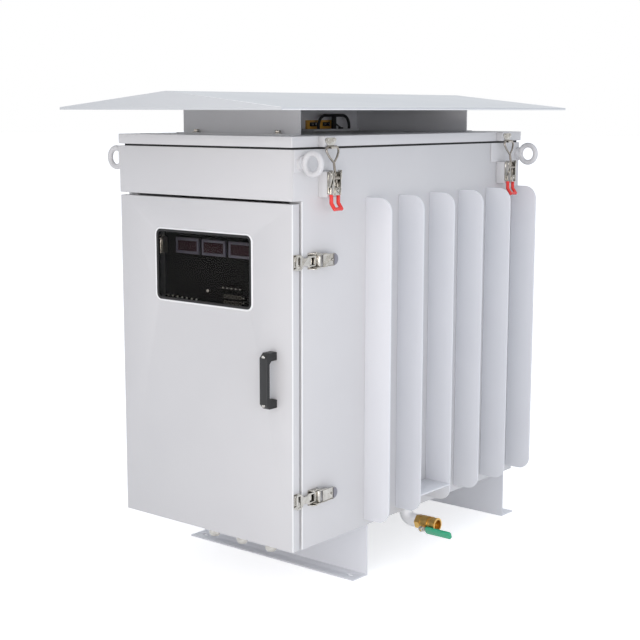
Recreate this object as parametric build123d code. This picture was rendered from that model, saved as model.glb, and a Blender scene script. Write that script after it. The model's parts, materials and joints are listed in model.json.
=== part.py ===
"""Oil-filled transformer rectifier in a sheet-steel tank, with a control compartment at the front.

Millimetres, +X to the right, +Y to the back, +Z up. The origin is on the floor, midway
between the four anchor slots in the two feet.
"""
from build123d import *
import math
import os

# Body
BODY_W = 700.0
BODY_D = 1205.0
BODY_H = 1150.0
HEADER_H = 142.0
WALL_T = 4.0
REAR_BEND_R = 20.0
RIM_FLANGE_W = 40.0
RIM_FLANGE_T = 5.0
PARTITION_SETBACK = 290.0
FLOOR_T = 5.0
FRONT_FLANGE_W = 45.0

# Feet
FOOT_H = 165.0
FOOT_T = 5.0
FOOT_INSET = 3.0
FOOT_TOE = 67.0
SLOT_EDGE = 37.0
SLOT_SETBACK = 33.0
SLOT_L = 26.0
SLOT_W = 14.0
FRONT_OVERHANG = 350.0
REAR_OVERHANG = 59.0

# Lid
LID_H = 30.0
LID_T = 4.0
LID_FRONT_LIP = 5.0
LID_EDGE_FLANGE = 36.0
GASKET_H = 6.0
GASKET_W = 28.0
GASKET_INSET = 6.0

# Cooling fins
FIN_COUNT = 6
FIN_FIRST = 332.0
FIN_PITCH = 164.0
FIN_REACH = 95.0
FIN_T = 5.0
FIN_Z_LOW = 21.0
FIN_H = 984.0
FIN_CORNER_R = 42.0
LEDGE_Z = 79.0
LEDGE_T = 5.0

# Canopy over the lid
CANOPY_SIDE = 92.0
CANOPY_FRONT = 153.0
CANOPY_BACK = 137.0
CANOPY_RISE = 46.0
CANOPY_T = 3.0
CANOPY_HEM = 7.0
CANOPY_RIDGE_SET = 12.0
CANOPY_EAVE_GAP = 72.0
SUPPORT_INSET = 114.0
SUPPORT_SETBACK = 165.0
SUPPORT_T = 4.0
SUPPORT_FLANGE = 32.0
SEAT_GAP = 0.2

# Door
DOOR_INSET = 3.0
DOOR_T = 3.0
DOOR_RETURN = 30.0
DOOR_HINGE_RETURN = 26.0
DOOR_WALL_GAP = 7.0
DOOR_TOP_GAP = 8.0
WINDOW_W = 386.0
WINDOW_H = 213.0
WINDOW_DROP = 202.0
WINDOW_R = 18.0
GASKET_BAND = 5.0
GASKET_PROUD = 1.5
GLASS_T = 5.0

# Door hinges
HINGE_AXIS_X = 14.0
HINGE_AXIS_Y = 14.0
HINGE_END = 120.0
HINGE_PIN_R = 3.0
HINGE_KNUCKLE_R = 6.5
HINGE_KNUCKLE_H = 18.0
RUNNING_GAP = 0.3
PIN_GAP = 0.08

# Door handle
GRIP_EDGE = 74.0
GRIP_LEN = 162.0
GRIP_W = 27.0
GRIP_STANDOFF = 46.0

# Lifting eyes
EYE_RING_R = 29.0
EYE_SECTION_R = 8.5
EYE_STANDOFF = 41.0
EYE_COLLAR_R = 21.0
EYE_COLLAR_T = 9.0
EYE_NECK_R = 13.0
EYE_SETBACK = 30.0
EYE_DROP = 38.0
EYE_PLATE_L = 175.0
EYE_PLATE_H = 62.0
EYE_PLATE_T = 5.0

# Lid clamps
CLAMP_SETBACK = 132.5
PAD_W = 50.0
PAD_H = 72.0
PAD_T = 33.0
PAD_DROP = 62.0
LID_PAD_T = 24.5
PLATE_T = 2.5
HANDLE_PIVOT_OUT = 11.0
HANDLE_PIVOT_DROP = 6.0
HOOK_PIVOT_R = 12.0
TROUGH_IN = 0.5
TROUGH_OUT = 3.0
CLAMP_PIN_R = 3.0
LUG_HALF = 19.0
ARM_HALF = 15.5
ARM_T = 3.0
HANDLE_LEN = 104.0
GRIP_R = 5.5
GRIP_KICK = 12.0
GRIP_KICK_H = 22.0
LOOP_BAR_R = 3.0
LOOP_W = 60.0
LOOP_H = 44.0
HOOK_LENGTH = 88.0
STEM_R = 3.5
STEM_TAIL = 14.0
NUT_R = 5.5
NUT_H = 4.0
NUT_SET = 6.5

# Door latches
LATCH_LOW = 150.0
LATCH_DROP = 162.0
LATCH_PIN_SETBACK = 84.0
LATCH_PIN_OUT = 14.0
LATCH_CRANK = 12.0
LATCH_REACH = 88.0
EAR_AHEAD = 22.0
EAR_BEHIND = 20.0
ROLLER_R = 6.0
LATCH_H = 46.0
LATCH_PIN_R = 2.5
KEEPER_H = 44.0
KEEPER_OUT = 9.0
LEVER_LEN = 88.0
LEVER_W = 36.0
LATCH_LOOP_T = 3.5
LATCH_LOOP_WAIST = 22.0

# Cable glands
GLAND_X = (-22.0, 93.0, 209.0)
GLAND_SETBACK = 62.0
GLAND_R = 20.0
GLAND_BORE_R = 11.0
GLAND_DROP = 38.0

# Control panel behind the window
PANEL_SETBACK = 78.0
PANEL_HALF_W = 238.0
PANEL_BELOW = 200.0
PANEL_ABOVE = 160.0
PANEL_T = 3.0
METER_W = 96.0
METER_H = 48.0
METER_PITCH = 110.0
METER_X = -133.0
METER_RISE = 52.0
METER_T = 8.0
PILLAR_W = 28.0
PILLAR_T = 3.0
PILLAR_D = 25.0
PANEL_HINGE_H = 56.0
PANEL_HINGE_R = 5.0
PANEL_LEAF_W = 41.0
PANEL_HINGE_LOW = 44.0

# Drain valve
DRAIN_PIPE_R = 21.2
DRAIN_INSET = 19.0
DRAIN_Y = 578.0
DRAIN_DROP = 38.0
DRAIN_TAIL = 20.0
ELBOW_R = 28.0
VALVE_LEN = 76.0
VALVE_R = 22.5
VALVE_BORE_R = 17.5
VALVE_BORE_L = 22.0
STEM_TILT = 22.0
STEM_OUT = 35.5
VALVE_LEVER_LEN = 112.0
VALVE_GRIP_W = 24.0

# Terminals under the canopy, their starts measured forward from the back of the body
BOARD_L = 145.0
BOARD_H = 30.0
BOARD_T = 10.0
BOARD_START = 457.0
STRIP_T = 7.0
STRIP_W = 62.0
STRIP_REACH = 30.0
ARCH_L = 170.0
ARCH_START = 430.0
ARCH_H = 51.0
ARCH_R = 5.0
ARCH_OFFSET = 36.0

# Places worked out from the sizes above
y_foot_web = (BODY_D - FRONT_OVERHANG - REAR_OVERHANG) / 2
y_front = -y_foot_web - FRONT_OVERHANG
y_back = y_front + BODY_D
x_side = BODY_W / 2
z_base = FOOT_H
door_h = BODY_H - HEADER_H - DOOR_TOP_GAP
z_rim = z_base + BODY_H
z_lip = z_rim + GASKET_H
z_lid = z_lip + LID_H
y_wall_front = y_front + DOOR_RETURN + DOOR_WALL_GAP
z_header = z_rim - HEADER_H
z_window = z_base + door_h - WINDOW_DROP
z_hinges = (z_base + HINGE_END, z_base + door_h / 2, z_base + door_h - HINGE_END)
z_latches = (z_base + LATCH_LOW, z_base + door_h - LATCH_DROP)
x_support = x_side - SUPPORT_INSET
x_eave = x_side + CANOPY_SIDE
y_partition = y_front + PARTITION_SETBACK
slot_row_y = y_foot_web + SLOT_SETBACK
slot_x = x_side - FOOT_INSET - SLOT_EDGE


def block(x0, x1, y0, y1, z0, z1):
    """A plain block between two corners."""
    return Pos((x0 + x1) / 2, (y0 + y1) / 2, (z0 + z1) / 2) * Box(x1 - x0, y1 - y0, z1 - z0)


def rod(start, end, radius):
    """A round bar from one point to another."""
    a = Vector(*start)
    b = Vector(*end)
    return Plane(origin=a, z_dir=b - a) * extrude(Circle(radius), (b - a).length)


def mirror_x(shape):
    return mirror(shape, about=Plane.YZ)


def side_profile(points, x0, x1):
    """A plate parallel to the side walls, from its outline in Y and Z."""
    face = make_face(Polyline([(0, y, z) for y, z in points], close=True))
    return Pos(x0, 0, 0) * extrude(face, x1 - x0, dir=(1, 0, 0))


def side_wall():
    """Right wall, notched for the door and folded in at its front edge."""
    outline = [
        (y_wall_front, z_base),
        (y_back - REAR_BEND_R, z_base),
        (y_back - REAR_BEND_R, z_rim),
        (y_front, z_rim),
        (y_front, z_header),
        (y_wall_front, z_header),
    ]
    plate = side_profile(outline, x_side - WALL_T, x_side)
    fold = block(x_side - FRONT_FLANGE_W, x_side - WALL_T, y_wall_front, y_wall_front + WALL_T,
                 z_base, z_header)
    return plate + fold


def rear_wall():
    """Back wall with both vertical corners bent round to meet the side walls."""
    depth = REAR_BEND_R
    outer = Pos(0, y_back - depth, 0) * Rectangle(BODY_W, 2 * depth)
    outer = fillet(outer.vertices(), REAR_BEND_R - 0.01)
    inner_w = BODY_W - 2 * WALL_T
    inner = Pos(0, y_back - depth, 0) * Rectangle(inner_w, 2 * (depth - WALL_T))
    inner = fillet(inner.vertices(), REAR_BEND_R - WALL_T - 0.01)
    keep = Pos(0, y_back - depth / 2, 0) * Rectangle(BODY_W + 2, depth)
    profile = (outer - inner) & keep
    return Pos(0, 0, z_base) * extrude(profile, BODY_H)


def floor_outline():
    """Floor outline inside the walls, with the rear corners rounded to the bend."""
    half = x_side - WALL_T
    y0 = y_wall_front + WALL_T
    y1 = y_back - WALL_T
    sheet = Pos(0, (y0 + y1) / 2, 0) * Rectangle(2 * half, y1 - y0)
    rear = sheet.vertices().sort_by(Axis.Y)[-2:]
    return fillet(rear, REAR_BEND_R - WALL_T)


def floor_plate():
    plate = Pos(0, 0, z_base) * extrude(floor_outline(), FLOOR_T)
    for x in GLAND_X:
        hole = Pos(x, y_front + GLAND_SETBACK, z_base - 1) * Cylinder(
            GLAND_BORE_R + 5, FLOOR_T + 2, align=(Align.CENTER, Align.CENTER, Align.MIN))
        plate -= hole
    return plate


def partition_wall():
    half = x_side - WALL_T
    return block(-half, half, y_partition, y_partition + WALL_T, z_base + FLOOR_T,
                 z_rim - RIM_FLANGE_T)


def rim_flange():
    """Flat frame round the top of the tank that the gasket seals on."""
    half = x_side - WALL_T
    y0 = y_front + WALL_T
    cut_w = 2 * (half - RIM_FLANGE_W)
    y1 = y_back - WALL_T
    full = Pos(0, (y0 + y1) / 2, 0) * Rectangle(2 * half, y1 - y0)
    rear = full.vertices().sort_by(Axis.Y)[-2:]
    full = fillet(rear, REAR_BEND_R - WALL_T)
    hole = Pos(0, (y0 + y1) / 2, 0) * Rectangle(cut_w, y1 - y0 - 2 * RIM_FLANGE_W)
    return Pos(0, 0, z_rim - RIM_FLANGE_T) * extrude(full - hole, RIM_FLANGE_T)


def header_panel():
    """Fixed panel above the door, folded back along its lower edge."""
    half = x_side - WALL_T
    face = block(-half, half, y_front, y_front + WALL_T, z_header, z_rim)
    fold = block(-half, half, y_front + WALL_T, y_wall_front, z_header, z_header + WALL_T)
    return face + fold


def lid_gasket():
    y0 = y_front + GASKET_INSET
    y1 = y_back - GASKET_INSET
    w = BODY_W - 2 * GASKET_INSET
    outer = Pos(0, (y0 + y1) / 2, 0) * RectangleRounded(w, y1 - y0, REAR_BEND_R)
    inner = Pos(0, (y0 + y1) / 2, 0) * RectangleRounded(
        w - 2 * GASKET_W, y1 - y0 - 2 * GASKET_W, REAR_BEND_R / 2)
    return Pos(0, 0, z_rim) * extrude(outer - inner, GASKET_H)


def lid():
    """Folded cover with a lip all round and an inner flange that lies on the gasket."""
    y0 = y_front - LID_FRONT_LIP
    y1 = y_back
    cy = (y0 + y1) / 2
    shell = Pos(0, cy, z_lip) * extrude(Rectangle(BODY_W, y1 - y0), LID_H)
    upright = shell.edges().filter_by(Axis.Z)
    shell = fillet(upright, 4)
    room = Pos(0, cy, z_lip + LID_T) * extrude(
        Rectangle(BODY_W - 2 * LID_T, y1 - y0 - 2 * LID_T), LID_H - 2 * LID_T)
    mouth = Pos(0, cy, z_lip) * extrude(
        Rectangle(BODY_W - 2 * LID_EDGE_FLANGE, y1 - y0 - 2 * LID_EDGE_FLANGE), LID_T)
    return shell - room - mouth


def fin_plate(y):
    face = Rectangle(FIN_REACH, FIN_H)
    outer = face.vertices().sort_by(Axis.X)[-2:]
    face = fillet(outer, FIN_CORNER_R)
    solid = extrude(face, FIN_T / 2, both=True)
    turned = Rot(90, 0, 0) * solid
    return Pos(x_side + FIN_REACH / 2, y, z_base + FIN_Z_LOW + FIN_H / 2) * turned


def fins_right():
    first = y_front + FIN_FIRST
    return [fin_plate(first + n * FIN_PITCH) for n in range(FIN_COUNT)]


def drain_ledge():
    """Guard plate between the second and third fins, over the drain valve."""
    y0 = y_front + FIN_FIRST + FIN_PITCH + FIN_T / 2
    y1 = y_front + FIN_FIRST + 2 * FIN_PITCH - FIN_T / 2
    z0 = z_base + LEDGE_Z - LEDGE_T
    return block(x_side, x_side + FIN_REACH, y0, y1, z0, z0 + LEDGE_T)


def foot():
    """Front foot: a folded plate across the body, its toe pointing forward with two slots."""
    half = x_side - FOOT_INSET
    y_web = -y_foot_web
    web = block(-half, half, y_web, y_web + FOOT_T, 0, FOOT_H)
    toe = block(-half, half, y_web - FOOT_TOE, y_web, 0, FOOT_T)
    solid = web + toe
    for x in (-slot_x, slot_x):
        slot = Pos(x, -slot_row_y, -1) * extrude(SlotOverall(SLOT_L, SLOT_W), FOOT_T + 2)
        solid -= slot
    return solid


def feet():
    front = foot()
    return [front, mirror(front, about=Plane.XZ)]


def lifting_eye(y, side):
    """Ring bolt with its shank level, screwed into the plate on the side wall."""
    x0 = x_side + EYE_PLATE_T
    z = z_rim - EYE_DROP
    ring = Pos(x0 + EYE_STANDOFF, y, z) * Rot(90, 0, 0) * Torus(EYE_RING_R, EYE_SECTION_R)
    x_neck = x0 + EYE_COLLAR_T
    x_tip = x0 + EYE_STANDOFF - EYE_RING_R
    collar = rod((x0, y, z), (x_neck, y, z), EYE_COLLAR_R)
    neck = rod((x_neck, y, z), (x_tip, y, z), EYE_NECK_R)
    solid = ring + collar + neck
    return solid if side > 0 else mirror_x(solid)


def corner_rows():
    """The four corners: side (right 1, left -1) and whether it is at the front."""
    return [(1, True), (1, False), (-1, True), (-1, False)]


def lifting_eyes():
    solids = []
    for side, at_front in corner_rows():
        y = y_front + EYE_SETBACK if at_front else y_back - EYE_SETBACK
        solids.append(lifting_eye(y, side))
    return solids


def eye_plates():
    solids = []
    for side, at_front in corner_rows():
        y0 = y_front if at_front else y_back - REAR_BEND_R - EYE_PLATE_L
        plate = block(x_side, x_side + EYE_PLATE_T, y0, y0 + EYE_PLATE_L,
                      z_rim - EYE_PLATE_H, z_rim)
        solids.append(plate if side > 0 else mirror_x(plate))
    return solids


def clamp_y(at_front):
    return y_front + CLAMP_SETBACK if at_front else y_back - CLAMP_SETBACK


def place_clamp(shape, side, at_front):
    """Move a clamp piece, drawn at Y 0 on the right, to its corner."""
    moved = Pos(0, clamp_y(at_front), 0) * shape
    return moved if side > 0 else mirror_x(moved)


z_pad_top = z_rim - PAD_DROP
x_pad = x_side + PAD_T
x_pivot = x_pad + HANDLE_PIVOT_OUT
z_pivot = z_pad_top - HANDLE_PIVOT_DROP
z_hook_pivot = z_pivot - HOOK_PIVOT_R
x_keeper = x_side + LID_PAD_T + PLATE_T
x_bar = x_keeper + TROUGH_IN + LOOP_BAR_R
z_bar = z_hook_pivot + math.sqrt(HOOK_LENGTH ** 2 - (x_pivot - x_bar) ** 2)


def clamp_pads():
    lower = block(x_side, x_pad, -PAD_W / 2, PAD_W / 2, z_pad_top - PAD_H, z_pad_top)
    upper = block(x_side, x_side + LID_PAD_T, -PAD_W / 2, PAD_W / 2, z_lip, z_lid)
    solids = []
    for side, at_front in corner_rows():
        solids.append(place_clamp(lower, side, at_front))
        solids.append(place_clamp(upper, side, at_front))
    return solids


def clamp_keeper():
    """Tapered plate on the lid pad, its lower tongue folded out and up to hold the loop."""
    x0 = x_side + LID_PAD_T
    z_floor = z_bar - LOOP_BAR_R - RUNNING_GAP
    top = z_lid - 4
    half_outline = [(12, z_floor - PLATE_T), (12, z_lip + 3), (22, z_lid - 17), (24, z_lid - 12),
                    (23, z_lid - 7), (17, top)]
    outline = half_outline + [(-y, z) for y, z in reversed(half_outline)]
    plate = side_profile(outline, x0, x0 + PLATE_T)
    x_lip = x_bar + LOOP_BAR_R + TROUGH_OUT
    shelf = block(x_keeper, x_lip + PLATE_T, -12, 12, z_floor - PLATE_T, z_floor)
    lip = block(x_lip, x_lip + PLATE_T, -12, 12, z_floor, z_bar)
    return plate + shelf + lip


def clamp_base():
    """Base plate with two lugs and a stub pin on each for the handle."""
    plate = block(x_pad, x_pad + PLATE_T, -PAD_W / 2, PAD_W / 2, z_pad_top - PAD_H + 10,
                  z_pad_top - 1)
    outline = [
        (x_pad + PLATE_T, z_pad_top - 45),
        (x_pad + PLATE_T, z_pad_top + 4),
        (x_pivot + 6, z_pad_top + 4),
        (x_pivot + 6, z_pivot - 10),
        (x_pad + 8, z_pad_top - 45),
    ]
    face = make_face(Polyline([(x, 0, z) for x, z in outline], close=True))
    solid = plate
    for sign in (1, -1):
        y_lug = sign * (LUG_HALF + PLATE_T / 2)
        lug = extrude(Pos(0, y_lug, 0) * face, PLATE_T / 2, both=True, dir=(0, 1, 0))
        inner = sign * (ARM_HALF - ARM_T / 2)
        pin = rod((x_pivot, inner, z_pivot), (x_pivot, y_lug, z_pivot), CLAMP_PIN_R)
        solid = solid + lug + pin
    return solid


def clamp_handle():
    """Two steel arms on the base pins, tied by a web and joined by a kinked grip."""
    z_grip = z_pivot - 60
    z_kink = z_pivot - HANDLE_LEN + GRIP_KICK_H
    z_tip = z_pivot - HANDLE_LEN + GRIP_R
    x_grip = x_pivot - 3
    hole_r = CLAMP_PIN_R + PIN_GAP
    solid = block(x_pivot + 4, x_pivot + 7, -ARM_HALF, ARM_HALF, z_grip, z_grip + 22)
    for sign in (1, -1):
        y = sign * ARM_HALF
        bar = block(x_pivot - 7, x_pivot + 7, y - ARM_T / 2, y + ARM_T / 2, z_grip, z_pivot)
        top = rod((x_pivot, y - ARM_T / 2, z_pivot), (x_pivot, y + ARM_T / 2, z_pivot), 7)
        arm = bar + top
        for z in (z_pivot, z_hook_pivot):
            arm -= rod((x_pivot, y - ARM_T, z), (x_pivot, y + ARM_T, z), hole_r)
        upper = rod((x_grip, y, z_grip + 2), (x_grip, y, z_kink), GRIP_R)
        knee = Pos(x_grip, y, z_kink) * Sphere(GRIP_R)
        lower = rod((x_grip, y, z_kink), (x_grip + GRIP_KICK, y, z_tip), GRIP_R)
        end = Pos(x_grip + GRIP_KICK, y, z_tip) * Sphere(GRIP_R)
        solid = solid + arm + upper + knee + lower + end
    cross = rod((x_grip + GRIP_KICK, -ARM_HALF, z_tip), (x_grip + GRIP_KICK, ARM_HALF, z_tip), GRIP_R - 0.4)
    return solid + cross


def clamp_hook():
    """Trunnion, threaded stem and a bent triangular loop that catches the keeper."""
    lean = math.asin((x_pivot - x_bar) / HOOK_LENGTH)
    inner = ARM_HALF - ARM_T / 2 - 1
    outer = ARM_HALF + ARM_T / 2
    trunnion = rod((0, -inner, 0), (0, inner, 0), 6)
    pins = rod((0, -outer, 0), (0, outer, 0), CLAMP_PIN_R)
    z_apex = HOOK_LENGTH - LOOP_H
    half = LOOP_W / 2 - LOOP_BAR_R
    top = HOOK_LENGTH
    right = [(half - 7, top), (half - 3, top - 2), (half, top - 9), (half - 1, top - 15),
             (half - 9, top - 28), (5, z_apex + 3)]
    bends = right + [(0, z_apex)] + [(-y, z) for y, z in reversed(right)]
    stem = rod((0, 0, -STEM_TAIL), (0, 0, z_apex), STEM_R)
    for z in (NUT_SET, -NUT_SET - NUT_H):
        stem = stem + Pos(0, 0, z) * extrude(RegularPolygon(NUT_R, 6), NUT_H)
    loop = Pos(0, 0, z_apex) * Sphere(LOOP_BAR_R)
    for n, (y, z) in enumerate(bends):
        y_next, z_next = bends[(n + 1) % len(bends)]
        loop = loop + Pos(0, y, z) * Sphere(LOOP_BAR_R) + rod((0, y, z), (0, y_next, z_next), LOOP_BAR_R)
    hook = trunnion + pins + stem + loop
    return Pos(x_pivot, 0, z_hook_pivot) * Rot(0, -math.degrees(lean), 0) * hook


def door_panel():
    """Folded door pan with the window cut through and three pairs of hinge knuckles on the left."""
    half = x_side - DOOR_INSET
    z0 = z_base
    z1 = z_base + door_h
    sheet = block(-half, half, y_front, y_front + DOOR_T, z0, z1)
    y_in = y_front + DOOR_T
    right = block(half - DOOR_T, half, y_in, y_front + DOOR_RETURN, z0, z1)
    left = block(-half, -half + DOOR_T, y_in, y_front + DOOR_HINGE_RETURN, z0, z1)
    low = block(-half, half, y_in, y_front + DOOR_HINGE_RETURN, z0, z0 + DOOR_T)
    high = block(-half, half, y_in, y_front + DOOR_HINGE_RETURN, z1 - DOOR_T, z1)
    pan = sheet + right + left + low + high
    cut = RectangleRounded(WINDOW_W - 2 * GASKET_BAND, WINDOW_H - 2 * GASKET_BAND,
                           WINDOW_R - GASKET_BAND)
    pan -= window_plane(y_front - 1) * extrude(cut, DOOR_T + 2)
    x_axis = -x_side + HINGE_AXIS_X
    y_axis = y_front + HINGE_AXIS_Y
    knuckle_h = HINGE_KNUCKLE_H - 1
    reach = 1.5 * HINGE_KNUCKLE_H + 8
    for zc in z_hinges:
        pan -= block(-half - 1, -half + DOOR_T, y_in, y_front + DOOR_HINGE_RETURN + 1,
                     zc - reach, zc + reach)
        for low_z in (zc - 1.5 * HINGE_KNUCKLE_H, zc + 0.5 * HINGE_KNUCKLE_H + 1):
            knuckle = rod((x_axis, y_axis, low_z), (x_axis, y_axis, low_z + knuckle_h), HINGE_KNUCKLE_R)
            web = block(x_axis - 5, x_axis + 5, y_in, y_axis, low_z, low_z + knuckle_h)
            bore = rod((x_axis, y_axis, low_z - 1), (x_axis, y_axis, low_z + knuckle_h + 1),
                       HINGE_PIN_R + PIN_GAP)
            pan = pan + (knuckle + web - bore)
    return pan


def door_hinges():
    """Three pins, each on an arm that reaches forward from the folded wall edge."""
    x_axis = -x_side + HINGE_AXIS_X
    y_axis = y_front + HINGE_AXIS_Y
    solids = []
    for zc in z_hinges:
        z0 = zc - HINGE_KNUCKLE_H / 2 + 0.5
        z1 = zc + HINGE_KNUCKLE_H / 2 - 0.5
        knuckle = rod((x_axis, y_axis, z0), (x_axis, y_axis, z1), HINGE_KNUCKLE_R)
        arm = block(x_axis - 3, x_axis + 3, y_axis, y_wall_front, z0, z1)
        pin = rod((x_axis, y_axis, zc - 1.5 * HINGE_KNUCKLE_H),
                  (x_axis, y_axis, zc + 1.5 * HINGE_KNUCKLE_H), HINGE_PIN_R)
        solids.append(knuckle + arm + pin)
    return solids


def window_plane(y):
    return Plane(origin=(0, y, z_window), z_dir=(0, 1, 0), x_dir=(1, 0, 0))


def window_gasket():
    """Thin rubber edge round the window, lapping the door sheet and backing on to the glass."""
    outer = RectangleRounded(WINDOW_W, WINDOW_H, WINDOW_R)
    edge = RectangleRounded(WINDOW_W - 2 * GASKET_BAND, WINDOW_H - 2 * GASKET_BAND,
                            WINDOW_R - GASKET_BAND)
    inner = RectangleRounded(WINDOW_W - 3 * GASKET_BAND, WINDOW_H - 3 * GASKET_BAND,
                             WINDOW_R - 1.5 * GASKET_BAND)
    front = window_plane(y_front - GASKET_PROUD) * extrude(outer - inner, GASKET_PROUD)
    core = window_plane(y_front) * extrude(edge - inner, DOOR_T)
    return front + core


def window_glass():
    pane = RectangleRounded(WINDOW_W - 2 * GASKET_BAND, WINDOW_H - 2 * GASKET_BAND,
                            WINDOW_R - GASKET_BAND)
    return window_plane(y_front + DOOR_T) * extrude(pane, GLASS_T)


def door_handle():
    """Bridge handle: a flat grip on two legs with chamfered shoulders."""
    z0 = z_base + door_h / 2 - GRIP_LEN / 2
    z1 = z0 + GRIP_LEN
    x_grip = x_side - GRIP_EDGE
    y1 = y_front
    y0 = y1 - GRIP_STANDOFF
    leg = 24.0
    cut = 14.0
    thick = 15.0
    outline = [(y1, z0), (y1, z0 + leg), (y0 + thick + 8, z0 + leg), (y0 + thick, z0 + leg + 8),
               (y0 + thick, z1 - leg - 8), (y0 + thick + 8, z1 - leg), (y1, z1 - leg), (y1, z1),
               (y0 + cut, z1), (y0, z1 - cut), (y0, z0 + cut), (y0 + cut, z0)]
    return side_profile(outline, x_grip - GRIP_W / 2, x_grip + GRIP_W / 2)


def latch_keepers():
    """Plates with a low rib on the free edge of the door, under the heads of the latch loops."""
    x0 = x_side - DOOR_INSET
    solids = []
    for zc in z_latches:
        plate = block(x0, x0 + 2, y_front + 3, y_front + DOOR_RETURN - 1, zc - KEEPER_H / 2,
                      zc + KEEPER_H / 2)
        rib = block(x0 + 2, x0 + KEEPER_OUT, y_front + 12, y_front + 15, zc - KEEPER_H / 4, zc + KEEPER_H / 4)
        solids.append(plate + rib)
    return solids


def latch_bases():
    """Brackets of the draw latches, on the side wall: a plate with an ear and a stub pin each side."""
    solids = []
    y_pin = y_front + LATCH_PIN_SETBACK
    x_pin = x_side + LATCH_PIN_OUT
    x_ear = x_side + PLATE_T
    y0 = y_pin - EAR_AHEAD
    y1 = y_pin + EAR_BEHIND
    ear_face = make_face(Polyline([(x_ear, y0, 0), (x_ear, y1, 0), (x_pin + 4, y1 - 6, 0),
                                   (x_pin + 4, y0 + 8, 0)], close=True))
    for zc in z_latches:
        solid = block(x_side, x_ear, y0, y1, zc - LATCH_H / 2, zc + LATCH_H / 2)
        for sign in (1, -1):
            z_out = zc + sign * LATCH_H / 2
            z_pin = z_out - sign * 6
            ear = Pos(0, 0, min(z_out, z_out - sign * PLATE_T)) * extrude(ear_face, PLATE_T, dir=(0, 0, 1))
            pin = rod((x_pin, y_pin, z_out), (x_pin, y_pin, z_pin), LATCH_PIN_R)
            solid = solid + ear + pin
        solids.append(solid)
    return solids


def latch_lever(zc):
    """Lever of a draw latch: two cheeks on the base pins under a flat round-ended plate."""
    y_pin = y_front + LATCH_PIN_SETBACK
    x_pin = x_side + LATCH_PIN_OUT
    x_top = x_pin + 5
    y_plate = y_pin + LATCH_CRANK + 10
    y_end = y_pin + LEVER_LEN - LEVER_W / 2
    plate = block(x_top, x_top + PLATE_T, y_plate, y_end, zc - LEVER_W / 2, zc + LEVER_W / 2)
    solid = plate + rod((x_top, y_end, zc), (x_top + PLATE_T, y_end, zc), LEVER_W / 2)
    for sign in (1, -1):
        z_out = zc + sign * (LATCH_H / 2 - 3)
        z_in = z_out - sign * PLATE_T
        cheek = block(x_pin - 5, x_top + PLATE_T, y_pin - 6, y_plate + 20, min(z_out, z_in), max(z_out, z_in))
        for y in (y_pin, y_pin + LATCH_CRANK):
            cheek -= rod((x_pin, y, zc - LATCH_H), (x_pin, y, zc + LATCH_H), LATCH_PIN_R + PIN_GAP)
        solid = solid + cheek
    return solid


def latch_loop(zc):
    """Narrow-waisted loop of a draw latch, from the lever's crank to the keeper rib."""
    x_pin = x_side + LATCH_PIN_OUT
    y_crank = y_front + LATCH_PIN_SETBACK + LATCH_CRANK
    half = LATCH_H / 2 - 7
    head = LATCH_H / 2 - 1
    waist = LATCH_LOOP_WAIST / 2
    pin_half = LATCH_H / 2 - 3
    roller = rod((x_pin, y_crank, zc - half), (x_pin, y_crank, zc + half), ROLLER_R)
    pins = rod((x_pin, y_crank, zc - pin_half), (x_pin, y_crank, zc + pin_half), LATCH_PIN_R)
    x_loop = x_side - DOOR_INSET + KEEPER_OUT + 2 * RUNNING_GAP
    y_hook = y_crank - LATCH_REACH
    half_outline = [(y_crank, half), (y_crank - 40, half), (y_crank - 48, waist), (y_hook + 26, waist),
                    (y_hook + 16, head), (y_hook - 3, head)]
    outline = [(y, zc + z) for y, z in half_outline] + [(y, zc - z) for y, z in reversed(half_outline)]
    plate = side_profile(outline, x_loop, x_loop + LATCH_LOOP_T)
    mouth = block(x_loop - 1, x_loop + LATCH_LOOP_T + 1, y_hook + 1, y_hook + 12, zc - head + 5, zc + head - 5)
    slot = block(x_loop - 1, x_loop + LATCH_LOOP_T + 1, y_crank - 36, y_crank - 14, zc - half + 5, zc + half - 5)
    return roller + pins + (plate - mouth - slot)


def cable_glands():
    """Three glands under the compartment floor, each with a through bore for a cable."""
    solids = []
    for x in GLAND_X:
        profile = make_face(Polyline([
            (GLAND_BORE_R, 12), (GLAND_BORE_R + 4.5, 12), (GLAND_BORE_R + 4.5, 0),
            (GLAND_R, 0), (GLAND_R, -18), (GLAND_R - 2, -20), (GLAND_R - 2, -30),
            (GLAND_R - 7, -GLAND_DROP), (GLAND_BORE_R, -GLAND_DROP)], close=True))
        body = revolve(Plane.XZ * profile, Axis.Z)
        solids.append(Pos(x, y_front + GLAND_SETBACK, z_base) * body)
    return solids


def control_panel():
    """Black instrument panel on two uprights, behind the door window."""
    y0 = y_front + PANEL_SETBACK
    z0 = z_window - PANEL_BELOW
    z1 = z_window + PANEL_ABOVE
    plate = block(-PANEL_HALF_W, PANEL_HALF_W, y0, y0 + PANEL_T, z0, z1)
    return plate


def panel_pillars():
    """Two folded uprights standing on the floor, one at each end of the instrument panel."""
    y0 = y_front + PANEL_SETBACK
    z_top = z_window + PANEL_ABOVE
    solids = []
    for sign in (1, -1):
        x_in = sign * PANEL_HALF_W
        x_out = sign * (PANEL_HALF_W + PILLAR_W)
        x_fold = x_out - sign * PILLAR_T
        face = block(min(x_in, x_out), max(x_in, x_out), y0, y0 + PILLAR_T, z_base + FLOOR_T, z_top)
        back = block(min(x_fold, x_out), max(x_fold, x_out), y0 + PILLAR_T, y0 + PILLAR_D, z_base + FLOOR_T, z_top)
        solids.append(face + back)
    return solids


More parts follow.
